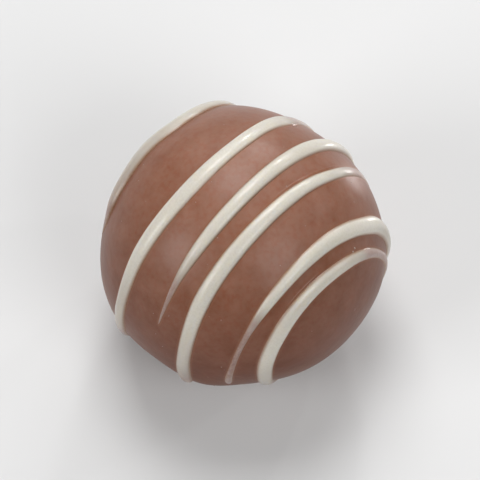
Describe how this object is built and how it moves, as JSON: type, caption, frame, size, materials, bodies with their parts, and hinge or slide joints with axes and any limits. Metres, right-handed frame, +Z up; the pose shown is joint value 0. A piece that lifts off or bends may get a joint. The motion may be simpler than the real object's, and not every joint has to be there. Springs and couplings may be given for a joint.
{
  "type": "champagne truffle",
  "caption": "Round milk chocolate truffle with raised white chocolate drizzle lines across it, standing on a small flat foot.",
  "frame": {"origin": "middle of the flat foot, on the surface that the truffle stands on", "axes": "+Z up out of the foot; the drizzle lines run along Y, with -Y the front; the lines follow one another along X, and +X is the bare end beside the two lines that lie closest together"},
  "size_m": [0.0289, 0.0295, 0.0277],
  "materials": {
    "milk_chocolate": "satin",
    "white_chocolate": "glossy"
  },
  "bodies": {
    "root": {"truffle": "milk_chocolate"}
  },
  "joints": []
}
